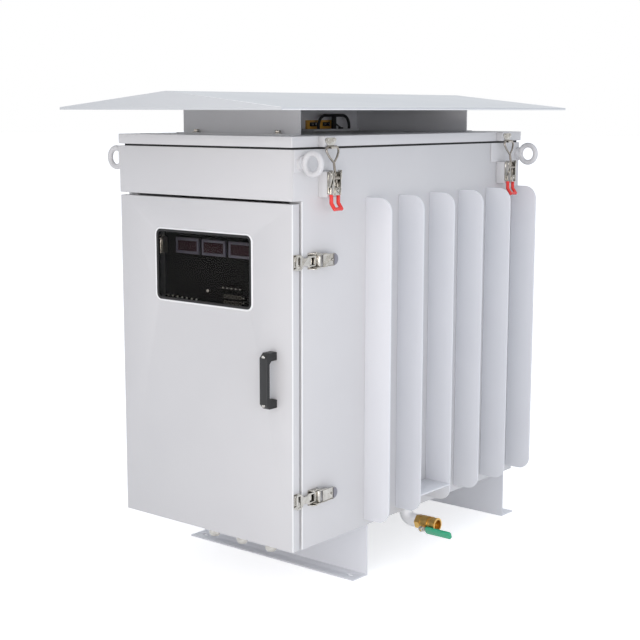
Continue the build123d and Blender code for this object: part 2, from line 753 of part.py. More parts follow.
def panel_hinges():
    """Two bright butt hinges between the left upright and the instrument panel."""
    y0 = y_front + PANEL_SETBACK
    x_axis = -PANEL_HALF_W - PILLAR_W / 2
    x_leaf = -PANEL_HALF_W - PILLAR_W + 2
    solids = []
    for zc in (z_window + METER_RISE - 3, z_window - PANEL_BELOW + PANEL_HINGE_LOW):
        z0 = zc - PANEL_HINGE_H / 2
        z1 = zc + PANEL_HINGE_H / 2
        barrel = rod((x_axis, y0 - PANEL_HINGE_R, z0), (x_axis, y0 - PANEL_HINGE_R, z1), PANEL_HINGE_R)
        leaves = block(x_leaf, x_leaf + PANEL_LEAF_W, y0 - 2, y0, z0 + 2, z1 - 2)
        solids.append(barrel + leaves)
    return solids


def panel_meters():
    """Three panel meters, each a bezel with a sunk display."""
    solids = []
    y0 = y_front + PANEL_SETBACK
    z = z_window + METER_RISE
    for n in range(3):
        x = METER_X + n * METER_PITCH
        bezel = block(x - METER_W / 2, x + METER_W / 2, y0 - METER_T, y0, z - METER_H / 2, z + METER_H / 2)
        recess = block(x - METER_W / 2 + 8, x + METER_W / 2 - 8, y0 - METER_T - 1, y0 - METER_T + 2,
                       z - METER_H / 2 + 8, z + METER_H / 2 - 8)
        solids.append(bezel - recess)
    return solids


def canopy():
    """Thin ridged roof sheet with closed, slightly raked ends and a turned-down hem."""
    y0 = y_front - CANOPY_FRONT
    y1 = y_back + CANOPY_BACK
    ze = z_lid + CANOPY_EAVE_GAP
    zr = ze + CANOPY_HEM + CANOPY_RISE
    outer = roof_block(x_eave, y0, y1, ze, ze + CANOPY_HEM, zr, CANOPY_RIDGE_SET)
    inner = roof_block(x_eave - CANOPY_T, y0 + CANOPY_T, y1 - CANOPY_T, ze - 1,
                       ze + CANOPY_HEM - CANOPY_T, zr - CANOPY_T, CANOPY_RIDGE_SET)
    return outer - inner


def roof_block(half_w, y0, y1, z_eave, z_fold, z_ridge, ridge_set):
    """A closed block under a ridged roof whose ends rake back to the ridge."""
    base = Pos(0, (y0 + y1) / 2, z_eave) * extrude(Rectangle(2 * half_w, y1 - y0), z_fold - z_eave)
    gable = make_face(Polyline([(-half_w, y0, z_fold), (half_w, y0, z_fold), (0, y0, z_ridge)],
                               close=True))
    prism = extrude(gable, y1 - y0, dir=(0, 1, 0))
    rise = z_ridge - z_fold
    angle = math.degrees(math.atan2(ridge_set, rise))
    reach = 4 * (rise + ridge_set)
    front_cut = Pos(0, y0, z_fold) * Rot(-angle, 0, 0) * Pos(0, -reach / 2, 0) * Box(
        4 * half_w, reach, 2 * reach)
    rear_cut = Pos(0, y1, z_fold) * Rot(angle, 0, 0) * Pos(0, reach / 2, 0) * Box(
        4 * half_w, reach, 2 * reach)
    upper = prism - front_cut - rear_cut
    return base + upper


def canopy_supports():
    """Folded sheet round three sides under the roof: front, left and back."""
    ya = y_front + SUPPORT_SETBACK
    yb = y_back - SUPPORT_SETBACK
    z0 = z_lid
    eave = z_lid + CANOPY_EAVE_GAP + CANOPY_HEM
    w = x_support
    zr = eave + CANOPY_RISE - CANOPY_T

    def under_roof(x):
        return eave - CANOPY_T + (zr - eave + CANOPY_T) * (1 - abs(x) / (x_eave - CANOPY_T)) - SEAT_GAP

    def end_plate(y_face, direction):
        outline = [(-w, z0), (w, z0), (w, under_roof(w)), (0, under_roof(0)), (-w, under_roof(w))]
        face = make_face(Polyline([(x, y_face, z) for x, z in outline], close=True))
        plate = extrude(face, SUPPORT_T, dir=(0, -direction, 0))
        y_toe = y_face + direction * SUPPORT_FLANGE
        toe = block(-w, w, min(y_face, y_toe), max(y_face, y_toe), z0, z0 + SUPPORT_T)
        return plate + toe

    front = end_plate(ya, -1)
    rear = end_plate(yb, 1)
    side = block(-w, -w + SUPPORT_T, ya + SUPPORT_T, yb - SUPPORT_T, z0, under_roof(w))
    return front + rear + side


def terminal_strip():
    """Dark mounting strip on the lid, inside the left side of the canopy supports."""
    x0 = -x_support + SUPPORT_T
    y0 = y_back - BOARD_START - STRIP_REACH
    y1 = y_back - ARCH_START + ARCH_L + STRIP_REACH
    return block(x0, x0 + STRIP_W, y0, y1, z_lid, z_lid + STRIP_T)


def terminal_board():
    """Insulating board that stands on the strip, with two terminal blocks on its face."""
    y0 = y_back - BOARD_START
    x0 = -x_support + SUPPORT_T
    z0 = z_lid + STRIP_T
    board = block(x0, x0 + BOARD_T, y0, y0 + BOARD_L, z0, z0 + BOARD_H)
    for y in (y0 + 28, y0 + 98):
        board = board + block(x0 + BOARD_T, x0 + BOARD_T + 6, y - 17, y + 17, z0 + 9, z0 + 23)
    return board


def lead_arch():
    """Black lead that rises from the strip, runs level and goes down again, with its stay."""
    x = -x_support + SUPPORT_T + ARCH_OFFSET
    y0 = y_back - ARCH_START
    y1 = y0 + ARCH_L
    z0 = z_lid + STRIP_T
    top = z0 + ARCH_H - ARCH_R
    pts = [(x, y0, z0), (x, y0, top), (x, y1, top), (x, y1, z0)]
    path = FilletPolyline(*pts, radius=0.8 * (ARCH_H - ARCH_R))
    section = Plane(origin=path @ 0, z_dir=path % 0) * Circle(ARCH_R)
    arch = sweep(section, path=path)
    mid = (y0 + y1) / 2
    post = block(x - 4, x + 4, mid - 9, mid + 9, z0, top)
    brace = rod((x, mid, z0 + 22), (x, mid + 38, z0 + 3), 3)
    return arch + post + brace + block(x - 5, x + 5, mid + 30, mid + 46, z0, z0 + 5)


x_elbow = x_side - DRAIN_INSET
y_drain = y_front + DRAIN_Y
z_drain = z_base - DRAIN_DROP
x_valve = x_elbow + ELBOW_R + DRAIN_TAIL
x_stem = x_valve + 35


def drain_elbow():
    """Bent drain pipe from the tank floor, turning outwards under the wall."""
    pts = [(x_elbow, y_drain, z_base), (x_elbow, y_drain, z_drain), (x_valve, y_drain, z_drain)]
    path = FilletPolyline(*pts, radius=ELBOW_R)
    section = Plane(origin=path @ 0, z_dir=path % 0) * Circle(DRAIN_PIPE_R)
    return sweep(section, path=path)


def drain_valve():
    """Ball valve body: hexagon, round waist over the ball, and an open round mouth."""
    start = Plane(origin=(x_valve, y_drain, z_drain), z_dir=(1, 0, 0))
    hexagon = start * extrude(RegularPolygon(VALVE_R + 1, 6, rotation=STEM_TILT), 18)
    core = start * extrude(Circle(VALVE_R - 3), VALVE_LEN)
    ball = start * Pos(0, 0, 22) * extrude(Circle(VALVE_R + 0.5), 24)
    collar = start * Pos(0, 0, 51) * extrude(Circle(VALVE_R), VALVE_LEN - 51)
    for reach in (51, VALVE_LEN - 5):
        collar = collar + start * Pos(0, 0, reach) * extrude(Circle(VALVE_R + 1), 4)
    bore = start * Pos(0, 0, VALVE_LEN - VALVE_BORE_L) * extrude(Circle(VALVE_BORE_R), VALVE_BORE_L + 1)
    neck = stem_rod(VALVE_R - 5, STEM_OUT - 7, 8)
    post = stem_rod(STEM_OUT - 8, STEM_OUT + 4, 4)
    return hexagon + core + ball + collar + neck + post - bore


def stem_dir():
    tilt = math.radians(STEM_TILT)
    return Vector(0, -math.cos(tilt), -math.sin(tilt))


def stem_rod(near, far, radius):
    """A bar along the valve stem, between two distances from the pipe axis."""
    centre = Vector(x_stem, y_drain, z_drain)
    a = centre + stem_dir() * near
    b = centre + stem_dir() * far
    return rod((a.X, a.Y, a.Z), (b.X, b.Y, b.Z), radius)


def valve_lever():
    """Lever on the valve stem: a strap with a cranked-up hand grip along the pipe axis."""
    centre = Vector(x_stem, y_drain, z_drain) + stem_dir() * (STEM_OUT - 6)
    plane = Plane(origin=centre, x_dir=(1, 0, 0), z_dir=stem_dir())
    strap = Pos(16, 0, 0) * extrude(RectangleRounded(52, 16, 6), 3)
    grip_l = VALVE_LEVER_LEN - 16
    grip = Pos(16 + grip_l / 2, 0, 0) * extrude(RectangleRounded(grip_l, VALVE_GRIP_W, 7), 6.5)
    hole = Pos(0, 0, -1) * extrude(Circle(4 + PIN_GAP), 9)
    return plane * (strap + grip - hole)


def nodes():
    """Every piece by its node name; a list holds separate solids."""
    pieces = {
        "side_walls": [side_wall(), mirror_x(side_wall())],
        "rear_wall": rear_wall(),
        "floor_plate": floor_plate(),
        "partition_wall": partition_wall(),
        "rim_flange": rim_flange(),
        "header_panel": header_panel(),
        "lid_gasket": lid_gasket(),
        "lid": lid(),
        "cooling_fins": fins_right() + [mirror_x(fin) for fin in fins_right()],
        "drain_ledge": drain_ledge(),
        "feet": feet(),
        "lifting_eyes": lifting_eyes(),
        "eye_plates": eye_plates(),
        "clamp_pads": clamp_pads(),
        "clamp_keepers": [place_clamp(clamp_keeper(), s, f) for s, f in corner_rows()],
        "clamp_bases": [place_clamp(clamp_base(), s, f) for s, f in corner_rows()],
        "door_panel": door_panel(),
        "door_hinges": door_hinges(),
        "window_gasket": window_gasket(),
        "window_glass": window_glass(),
        "door_handle": door_handle(),
        "latch_keepers": latch_keepers(),
        "latch_bases": latch_bases(),
        "latch_lever_lower": latch_lever(z_latches[0]),
        "latch_lever_upper": latch_lever(z_latches[1]),
        "latch_loop_lower": latch_loop(z_latches[0]),
        "latch_loop_upper": latch_loop(z_latches[1]),
        "cable_glands": cable_glands(),
        "control_panel": control_panel(),
        "panel_pillars": panel_pillars(),
        "panel_hinges": panel_hinges(),
        "panel_meters": panel_meters(),
        "canopy": canopy(),
        "canopy_supports": canopy_supports(),
        "terminal_strip": terminal_strip(),
        "terminal_board": terminal_board(),
        "lead_arch": lead_arch(),
        "drain_elbow": drain_elbow(),
        "drain_valve": drain_valve(),
        "valve_lever": valve_lever(),
    }
    for side, at_front in corner_rows():
        tag = ("right" if side > 0 else "left") + ("_front" if at_front else "_rear")
        pieces["clamp_handle_" + tag] = place_clamp(clamp_handle(), side, at_front)
        pieces["clamp_hook_" + tag] = place_clamp(clamp_hook(), side, at_front)
    return pieces


def main():
    os.makedirs("parts", exist_ok=True)
    for name, shape in nodes().items():
        solids = shape if isinstance(shape, list) else [shape]
        flat = [solid for item in solids for solid in item.solids()]
        whole = flat[0] if len(flat) == 1 else Compound(children=flat)
        export_step(whole, "parts/" + name + ".step")


main()
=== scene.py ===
"""Looks for the transformer rectifier: painted sheet steel, plated clamps and a tinted window."""
import json
import math

import bmesh
import bpy
from mathutils import Matrix, Vector


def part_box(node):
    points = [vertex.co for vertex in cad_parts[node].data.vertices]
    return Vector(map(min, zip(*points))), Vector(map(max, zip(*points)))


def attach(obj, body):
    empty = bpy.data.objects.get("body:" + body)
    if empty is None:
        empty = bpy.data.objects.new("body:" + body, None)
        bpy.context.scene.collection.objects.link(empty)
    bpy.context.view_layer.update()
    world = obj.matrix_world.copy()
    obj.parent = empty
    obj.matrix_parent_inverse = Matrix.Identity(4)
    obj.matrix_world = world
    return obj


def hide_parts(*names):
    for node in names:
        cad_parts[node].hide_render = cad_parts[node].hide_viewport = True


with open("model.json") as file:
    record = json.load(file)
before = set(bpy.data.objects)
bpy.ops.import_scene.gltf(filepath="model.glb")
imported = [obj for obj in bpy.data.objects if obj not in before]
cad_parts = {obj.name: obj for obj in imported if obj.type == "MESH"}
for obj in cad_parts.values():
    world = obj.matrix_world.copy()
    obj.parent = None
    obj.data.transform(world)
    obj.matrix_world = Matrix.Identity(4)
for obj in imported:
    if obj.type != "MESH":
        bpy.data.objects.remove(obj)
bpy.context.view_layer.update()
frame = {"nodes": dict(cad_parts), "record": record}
nodes = frame["nodes"]
bodies = frame["record"]["behaviour"]["bodies"]
body_of_node = {name: body for body, members in bodies.items() for name in members}

CORNERS = ("right_front", "right_rear", "left_front", "left_rear")
RIGHT, FRONT, BACK, UP = (1, 0, 0), (0, -1, 0), (0, 1, 0), (0, 0, 1)

# Angles between two faces: flatter ones are merged, sharper ones are creased or rolled over
FLAT = math.radians(0.5)
CREASE = math.radians(28)
SHARP = math.radians(50)

# Places of the colour sockets on a mix node
MIX_A, MIX_B, MIX_RESULT = 6, 7, 2


def linear(code):
    """An sRGB hex colour as linear red, green, blue and alpha."""
    values = [int(code[i:i + 2], 16) / 255 for i in (1, 3, 5)]
    curve = [v / 12.92 if v <= 0.04045 else ((v + 0.055) / 1.055) ** 2.4 for v in values]
    return (*curve, 1.0)


def add_node(tree, kind, settings=None, inputs=None):
    """A shader node with its settings, each input a value or the socket that feeds it."""
    made = tree.nodes.new(kind)
    for name, value in (settings or {}).items():
        setattr(made, name, value)
    for name, value in (inputs or {}).items():
        if isinstance(value, bpy.types.NodeSocket):
            tree.links.new(value, made.inputs[name])
        else:
            made.inputs[name].default_value = value
    return made


def start_material(name, colour, roughness, metallic=0.0, ior=1.5):
    """A named material with a plain shader, ready for its own detail."""
    material = bpy.data.materials.new(name)
    material.use_nodes = True
    tree = material.node_tree
    tree.nodes.clear()
    shader = add_node(tree, "ShaderNodeBsdfPrincipled", None,
                      {"Base Color": linear(colour), "Roughness": roughness,
                       "Metallic": metallic, "IOR": ior})
    output = add_node(tree, "ShaderNodeOutputMaterial", None, {"Surface": shader.outputs["BSDF"]})
    output.target = "ALL"
    return material, tree, shader


def mottle(tree, shader, light, dark, size_mm, shine=None):
    """Soft patches between two close colours, about as large as the size given.

    With shine, the roughness follows the same patches between its two values.
    """
    place = add_node(tree, "ShaderNodeTexCoord")
    noise = add_node(tree, "ShaderNodeTexNoise", None,
                     {"Vector": place.outputs["Object"], "Scale": 1000 / size_mm, "Detail": 4.0})
    mix = add_node(tree, "ShaderNodeMix", {"data_type": "RGBA"}, {"Factor": noise.outputs["Fac"]})
    mix.inputs[MIX_A].default_value = linear(light)
    mix.inputs[MIX_B].default_value = linear(dark)
    tree.links.new(mix.outputs[MIX_RESULT], shader.inputs["Base Color"])
    if shine:
        rough = add_node(tree, "ShaderNodeMapRange", None,
                         {"Value": noise.outputs["Fac"], "To Min": shine[0], "To Max": shine[1]})
        tree.links.new(rough.outputs["Result"], shader.inputs["Roughness"])
    return place


def grain_bump(tree, shader, place, size_mm, height_mm, strength):
    """Fine relief of a real grain size and height."""
    grain = add_node(tree, "ShaderNodeTexNoise", None,
                     {"Vector": place.outputs["Object"], "Scale": 1000 / size_mm})
    bump = add_node(tree, "ShaderNodeBump", None,
                    {"Height": grain.outputs["Fac"], "Strength": strength,
                     "Distance": height_mm / 1000})
    tree.links.new(bump.outputs["Normal"], shader.inputs["Normal"])


def powder_coat(name, light, dark, roughness=0.42):
    """Baked polyester powder on steel: even satin shine, faint orange peel about 3 mm across."""
    material, tree, shader = start_material(name, light, roughness)
    place = mottle(tree, shader, light, dark, size_mm=260,
                   shine=(roughness - 0.05, roughness + 0.07))
    grain_bump(tree, shader, place, size_mm=3.0, height_mm=0.03, strength=0.25)
    return material


def nickel_plate(name, colour, painted_dark_reflection):
    """Bright nickel on pressed steel: mirror-like, with soft rolling marks about 1.5 mm apart. Its
    darker patches about 14 mm across are painted reflections.
    """
    material, tree, shader = start_material(name, colour, 0.16, metallic=1.0)
    place = mottle(tree, shader, colour, painted_dark_reflection, size_mm=14, shine=(0.08, 0.22))
    grain_bump(tree, shader, place, size_mm=1.5, height_mm=0.01, strength=0.2)
    return material


def zinc_plate():
    """Passivated zinc on folded steel: dull grey with a faint crystal bloom about 6 mm across."""
    material, tree, shader = start_material("zinc_plated_steel", "#A8ABAD", 0.42, metallic=1.0)
    place = mottle(tree, shader, "#B2B5B7", "#95999C", size_mm=6)
    grain_bump(tree, shader, place, size_mm=2.0, height_mm=0.01, strength=0.2)
    return material


def moulded_rubber():
    """EPDM sealing rubber: matt black. Its skin of about 0.8 mm is drawn at 1.5 mm to show."""
    material, tree, shader = start_material("epdm_rubber", "#1B1B1C", 0.72)
    place = mottle(tree, shader, "#202021", "#151516", size_mm=30)
    grain_bump(tree, shader, place, size_mm=1.5, height_mm=0.05, strength=0.35)
    return material


def moulded_nylon():
    """Glass-filled nylon: black, spark-eroded skin about 1 mm across, half matt."""
    material, tree, shader = start_material("black_nylon", "#17181A", 0.48, ior=1.53)
    place = mottle(tree, shader, "#1C1D1F", "#121314", size_mm=20)
    grain_bump(tree, shader, place, size_mm=1.0, height_mm=0.04, strength=0.4)
    return material


def painted_panel():
    """Black enamelled sheet with an even eggshell sheen."""
    material, tree, shader = start_material("black_enamel_sheet", "#0A0A0C", 0.6)
    place = mottle(tree, shader, "#0D0D10", "#070708", size_mm=60)
    shader.inputs["Specular IOR Level"].default_value = 0.04
    grain_bump(tree, shader, place, size_mm=2.0, height_mm=0.02, strength=0.05)
    return material


def dipped_vinyl(name, light, dark):
    """Hand-dipped PVC over steel: thick glossy skin with slow waves about 8 mm long."""
    material, tree, shader = start_material(name, light, 0.26, ior=1.52)
    place = mottle(tree, shader, light, dark, size_mm=10)
    grain_bump(tree, shader, place, size_mm=8.0, height_mm=0.2, strength=0.3)
    shader.inputs["Coat Weight"].default_value = 0.25
    shader.inputs["Coat Roughness"].default_value = 0.12
    return material


def forged_brass():
    """Forged and turned brass: warm yellow, with fine turning marks and duller hollows."""
    material, tree, shader = start_material("forged_brass", "#D8B66E", 0.26, metallic=1.0)
    place = mottle(tree, shader, "#DFBE78", "#BE9650", size_mm=9, shine=(0.2, 0.42))
    grain_bump(tree, shader, place, size_mm=1.2, height_mm=0.03, strength=0.3)
    return material


def fibre_laminate():
    """Phenolic paper laminate: ochre and cloudy, with a fibrous skin under 1 mm across."""
    material, tree, shader = start_material("phenolic_laminate", "#CC983A", 0.4, ior=1.55)
    place = mottle(tree, shader, "#DDA742", "#B8842C", size_mm=7)
    grain_bump(tree, shader, place, size_mm=0.8, height_mm=0.02, strength=0.3)
    return material


def tinted_pane():
    """Smoked acrylic sheet with a reflection-cutting face: clear but dark, almost without shine."""
    material, tree, shader = start_material("smoked_acrylic", "#DAD6D1", 0.02, ior=1.12)
    shader.inputs["Transmission Weight"].default_value = 1.0
    shader.inputs["Specular IOR Level"].default_value = 0.05
    place = add_node(tree, "ShaderNodeTexCoord")
    grain_bump(tree, shader, place, size_mm=90.0, height_mm=0.2, strength=0.05)
    return material


def display_window():
    """Dark red filter over unlit digits: deep maroon, smooth and quiet."""
    material, tree, shader = start_material("maroon_filter", "#2A121C", 0.3, ior=1.49)
    mottle(tree, shader, "#2E121E", "#24101A", size_mm=25)
    shader.inputs["Specular IOR Level"].default_value = 0.1
    return material


def plain_mark(name, light, dark, roughness):
    """Moulded lens or key cap of one colour, with a slightly uneven surface."""
    material, tree, shader = start_material(name, light, roughness)
    place = mottle(tree, shader, light, dark, size_mm=4)
    grain_bump(tree, shader, place, size_mm=1.0, height_mm=0.02, strength=0.2)
    return material


body_coat = powder_coat("grey_powder_coat", "#D5D4D4", "#CECDCE")
# The body's grey paint made lighter: painted light on the fins, the drain ledge and the feet
fin_coat_painted_light = powder_coat("painted_light_powder_coat", "#E4E5E8", "#DEDFE3")
canopy_coat = powder_coat("canopy_powder_coat", "#D3D4D5", "#C8CBCD", 0.5)
# The darker patches in the mottle of both platings are painted reflections
nickel = nickel_plate("nickel_plated_steel", "#CFCDC8", "#8E8A83")
hook_wire = nickel_plate("bright_drawn_wire", "#AFA9A1", "#66605A")
zinc = zinc_plate()
rubber = moulded_rubber()
nylon = moulded_nylon()
enamel = painted_panel()
red_vinyl = dipped_vinyl("red_pvc_grip", "#EA2A22", "#D8201B")
green_vinyl = dipped_vinyl("green_pvc_grip", "#1FAE80", "#15976C")
brass = forged_brass()
laminate = fibre_laminate()
pane = tinted_pane()
filter_red = display_window()
lamp_lens = plain_mark("clear_lamp_lens", "#D9DCDA", "#B9BDBB", 0.25)
key_cap = plain_mark("grey_key_cap", "#8D8C86", "#74736E", 0.4)
bezel_shell = plain_mark("violet_grey_abs", "#5C5C70", "#4E4E61", 0.38)
# White paint on the drain elbow; on the rolled edges, the window bead and the edge folds this white
# is a painted highlight
white_paint_and_painted_highlight = powder_coat("white_paint_and_painted_highlight", "#F6F6F5", "#EFEFEF", 0.35)
grip_tab = plain_mark("grey_nylon_tab", "#8B8A92", "#7D7C84", 0.45)


def face_angle(edge):
    """The angle between an edge's two faces, or nothing at a free edge."""
    return edge.calc_face_angle(0.0) if len(edge.link_faces) == 2 else 0.0


def edges_of(verts):
    """Every edge that meets one of the vertices, once."""
    return {edge for vert in verts for edge in vert.link_edges}


def roll_over(bm, edges, radius, segments=2):
    """Rounds the given edges, as folded or moulded ones are."""
    bmesh.ops.bevel(bm, geom=list(edges), offset=radius, offset_type="OFFSET", segments=segments,
                    profile=0.5, material=-1, affect="EDGES", clamp_overlap=True)


def shade(mesh_data):
    """Smooth shading that stops at creases."""
    bm = bmesh.new()
    bm.from_mesh(mesh_data)
    for face in bm.faces:
        face.smooth = True
    for edge in bm.edges:
        edge.smooth = face_angle(edge) < CREASE
    bm.to_mesh(mesh_data)
    bm.free()


def finish_piece(name, bm, materials, body):
    """Turns a bmesh into a piece that rides on a body."""
    bmesh.ops.recalc_face_normals(bm, faces=bm.faces)
    mesh_data = bpy.data.meshes.new(name)
    bm.to_mesh(mesh_data)
    bm.free()
    for material in materials:
        mesh_data.materials.append(material)
    shade(mesh_data)
    piece = bpy.data.objects.new(name, mesh_data)
    bpy.context.scene.collection.objects.link(piece)
    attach(piece, body)
    return piece


def paint_node(name, material):
    """Gives a CAD node its one finish."""
    data = nodes[name].data
    data.materials.clear()
    data.materials.append(material)


def softened(name, radius_mm, materials, segments=2, sort_faces=None):
    """Stands for a CAD node: the same solid with its sharp edges rolled over a little."""
    bm = bmesh.new()
    bm.from_mesh(nodes[name].data)
    bmesh.ops.remove_doubles(bm, verts=bm.verts, dist=0.00001)
    bmesh.ops.dissolve_limit(bm, angle_limit=FLAT, verts=bm.verts, edges=bm.edges)
    sharp = [edge for edge in bm.edges if face_angle(edge) > SHARP]
    roll_over(bm, sharp, radius_mm / 1000, segments)
    if sort_faces:
        for face in bm.faces:
            face.material_index = sort_faces(face.calc_center_median())
    piece = finish_piece(name + "_sheet", bm, materials, body_of_node[name])
    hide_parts(name)


# Housing and door
for name, radius in (("side_walls", 1.0), ("header_panel", 1.2), ("lid", 1.6),
                     ("door_panel", 1.2), ("eye_plates", 1.2), ("clamp_pads", 2.5),
                     ("canopy_supports", 1.0)):
    softened(name, radius, [body_coat])
# Fins, drain ledge and feet wear the body's paint; their lighter coat is painted light
for name, radius in (("cooling_fins", 1.5), ("drain_ledge", 1.0), ("feet", 1.2)):
    softened(name, radius, [fin_coat_painted_light])
for name in ("rear_wall", "floor_plate", "partition_wall", "rim_flange", "lifting_eyes"):
    paint_node(name, body_coat)
paint_node("canopy", canopy_coat)
# The elbow's own white paint, made whiter as painted light against the shade of the fins
paint_node("drain_elbow", white_paint_and_painted_highlight)
for name in ("lid_gasket", "lead_arch"):
    paint_node(name, rubber)
softened("window_gasket", 1.2, [rubber])
paint_node("window_glass", pane)
softened("door_handle", 2.0, [nylon], segments=3)
softened("control_panel", 0.6, [enamel])
softened("panel_meters", 0.8, [bezel_shell])
for name in ("door_hinges", "panel_pillars"):
    paint_node(name, zinc)
softened("terminal_strip", 0.8, [body_coat])
# Faces within the outer 5.5 mm of the board belong to its nylon blocks
block_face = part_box("terminal_board")[1].x - 0.0055
softened("terminal_board", 0.6, [laminate, nylon],
         sort_faces=lambda centre: int(centre.x > block_face))
softened("panel_hinges", 0.4, [nickel])
paint_node("cable_glands", nickel)
paint_node("drain_valve", brass)

# Clamps and latches
for name in ("clamp_keepers", "clamp_bases", "latch_keepers", "latch_bases", "latch_lever_lower",
             "latch_lever_upper", "latch_loop_lower", "latch_loop_upper"):
    softened(name, 0.5, [nickel])
# The handles are dipped from their lower ends up to 65.5 mm below their tops
grip_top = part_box("clamp_handle_right_front")[1].z - 0.0655
for corner in CORNERS:
    paint_node("clamp_hook_" + corner, hook_wire)
    softened("clamp_handle_" + corner, 0.4, [nickel, red_vinyl],
             sort_faces=lambda centre: int(centre.z < grip_top))
# The valve lever is bare steel up to 52 mm from the elbow's end of the valve, then dipped
strap_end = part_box("drain_valve")[0].x + 0.052
softened("valve_lever", 1.2, [green_vinyl, nickel],
         sort_faces=lambda centre: int(centre.x < strap_end))


def turned_to(direction):
    """The turn that takes +Z to a direction."""
    return Vector(UP).rotation_difference(Vector(direction)).to_matrix().to_4x4()


def add_disc(bm, centre, direction, radius, height, sides=24, tip=None, soften=0.0):
    """A short round or many-sided boss that stands on a point, its top as wide as the tip."""
    place = (Matrix.Translation(Vector(centre)) @ turned_to(direction)
             @ Matrix.Translation((0, 0, height / 2)))
    made = bmesh.ops.create_cone(bm, cap_ends=True, segments=sides, radius1=radius,
                                 radius2=radius if tip is None else tip, depth=height,
                                 matrix=place)
    if soften:
        roll_over(bm, {e for e in edges_of(made["verts"]) if face_angle(e) > SHARP}, soften)


def add_rivet(bm, centre, direction, radius):
    """Low domed rivet head in two steps."""
    step = radius * 0.3
    add_disc(bm, centre, direction, radius, step, 20)
    top = Vector(centre) + Vector(direction) * step
    add_disc(bm, top, direction, radius, step, 20, radius * 0.55)


def add_hex_bolt(bm, centre, direction, across, height):
    """Washer and hexagon head, whose corners lie 0.577 of its width from its middle."""
    washer = height * 0.25
    add_disc(bm, centre, direction, across * 0.8, washer, 28, soften=0.0004)
    top = Vector(centre) + Vector(direction) * washer
    add_disc(bm, top, direction, across * 0.577, height * 0.75, 6, soften=0.0006)


def add_block(bm, low, high, soften):
    """A block between two corners with its edges rolled over."""
    low, high = Vector(low), Vector(high)
    place = Matrix.Translation((low + high) / 2) @ Matrix.Diagonal((*(high - low), 1))
    made = bmesh.ops.create_cube(bm, size=1, matrix=place)
    roll_over(bm, edges_of(made["verts"]), soften)


def add_ring(bm, centre, direction, radius, section, around):
    """A round-section ring turned about its own axis."""
    start = (Matrix.Translation(Vector(centre)) @ turned_to(direction)
             @ Matrix.Translation((radius, 0, 0)) @ Matrix.Rotation(math.pi / 2, 4, "X"))
    made = bmesh.ops.create_circle(bm, segments=8, radius=section, matrix=start)
    bmesh.ops.spin(bm, geom=list(edges_of(made["verts"])), cent=Vector(centre),
                   axis=Vector(direction).normalized(), angle=2 * math.pi, steps=around,
                   use_merge=True)


# Rolled edges of the canopy, white as a painted highlight: along both eaves and up the four rakes
low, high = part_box("canopy")
roll = 0.0016
roll_sides = 10
eave_inset = 0.0012
eave_short = 0.002
rake_inset = 0.0018
rake_foot_z = 0.0066
peak_setback = 0.0134
eaves = bmesh.new()
for side in (1, -1):
    add_disc(eaves, (side * (high.x - eave_inset), low.y + eave_short, low.z + roll), BACK,
             roll, high.y - low.y - 2 * eave_short, roll_sides)
    for y_low, y_top in ((low.y + roll, low.y + peak_setback),
                         (high.y - roll, high.y - peak_setback)):
        foot = Vector((side * (high.x - rake_inset), y_low, low.z + rake_foot_z))
        peak = Vector((0, y_top, high.z - roll))
        add_disc(eaves, foot, (peak - foot).normalized(), roll, (peak - foot).length, roll_sides)
finish_piece("canopy_edges_painted_highlight", eaves, [white_paint_and_painted_highlight], "housing")

# Bolts that hold the canopy supports to the lid, through their 4 mm flanges
low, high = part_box("canopy_supports")
flange_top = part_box("lid")[1].z + 0.004
bolt_x = 0.165
bolt_inset = 0.016
bolts = bmesh.new()
for x in (-bolt_x, bolt_x):
    for y in (low.y + bolt_inset, high.y - bolt_inset):
        add_hex_bolt(bolts, (x, y, flange_top), UP, across=0.016, height=0.010)
finish_piece("support_bolts", bolts, [nickel], "housing")

# Displays of the three meters
low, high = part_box("panel_meters")
panel_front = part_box("control_panel")[0].y
first_meter = low.x + 0.048
meter_pitch = 0.11
screen_half = 0.0395
screen_rim = 0.0085
screen_front = panel_front - 0.0077
screen_back = panel_front - 0.0047
screens = bmesh.new()
for n in range(3):
    middle = first_meter + n * meter_pitch
    add_block(screens, (middle - screen_half, screen_front, low.z + screen_rim),
              (middle + screen_half, screen_back, high.z - screen_rim), 0.0006)
finish_piece("meter_screens", screens, [filter_red], "housing")

# Small lamps of the instrument panel, with heights above the foot of the side walls.
# Each kind has its radius, height, sides and top radius.
z_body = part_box("side_walls")[0].z
ROW_LAMP = (0.0035, 0.003, 16, 0.0022)
MAIN_LAMP = (0.0045, 0.004, 16, 0.0025)
PILOT_LAMP = (0.0022, 0.002, 12, 0.0016)
row_z = 0.690
row_drop = 0.0006
pilot_first = 0.008
pilot_pitch = 0.0174
lamps = bmesh.new()
for n, x in enumerate((-0.225, -0.205, -0.184, -0.164, -0.144, -0.123, -0.103)):
    add_disc(lamps, (x, panel_front, z_body + row_z - row_drop * n), FRONT, *ROW_LAMP)
add_disc(lamps, (-0.055, panel_front, z_body + 0.718), FRONT, *MAIN_LAMP)
for n in range(5):
    add_disc(lamps, (pilot_first + n * pilot_pitch, panel_front, z_body + 0.7325), FRONT,
             *PILOT_LAMP)
for z in (0.707, 0.693):
    add_disc(lamps, (0.091, panel_front, z_body + z), FRONT, *PILOT_LAMP)
finish_piece("panel_lamps", lamps, [lamp_lens], "housing")

# Two rows of round sockets under the pilot lamps
socket_first = 0.0175
socket_pitch = 0.0152
socket_sunk = 0.0008
sockets = bmesh.new()
for z in (0.7078, 0.6900):
    for n in range(5):
        add_ring(sockets, (socket_first + n * socket_pitch, panel_front - socket_sunk, z_body + z),
                 FRONT, radius=0.0052, section=0.0009, around=20)
finish_piece("panel_sockets", sockets, [key_cap], "housing")


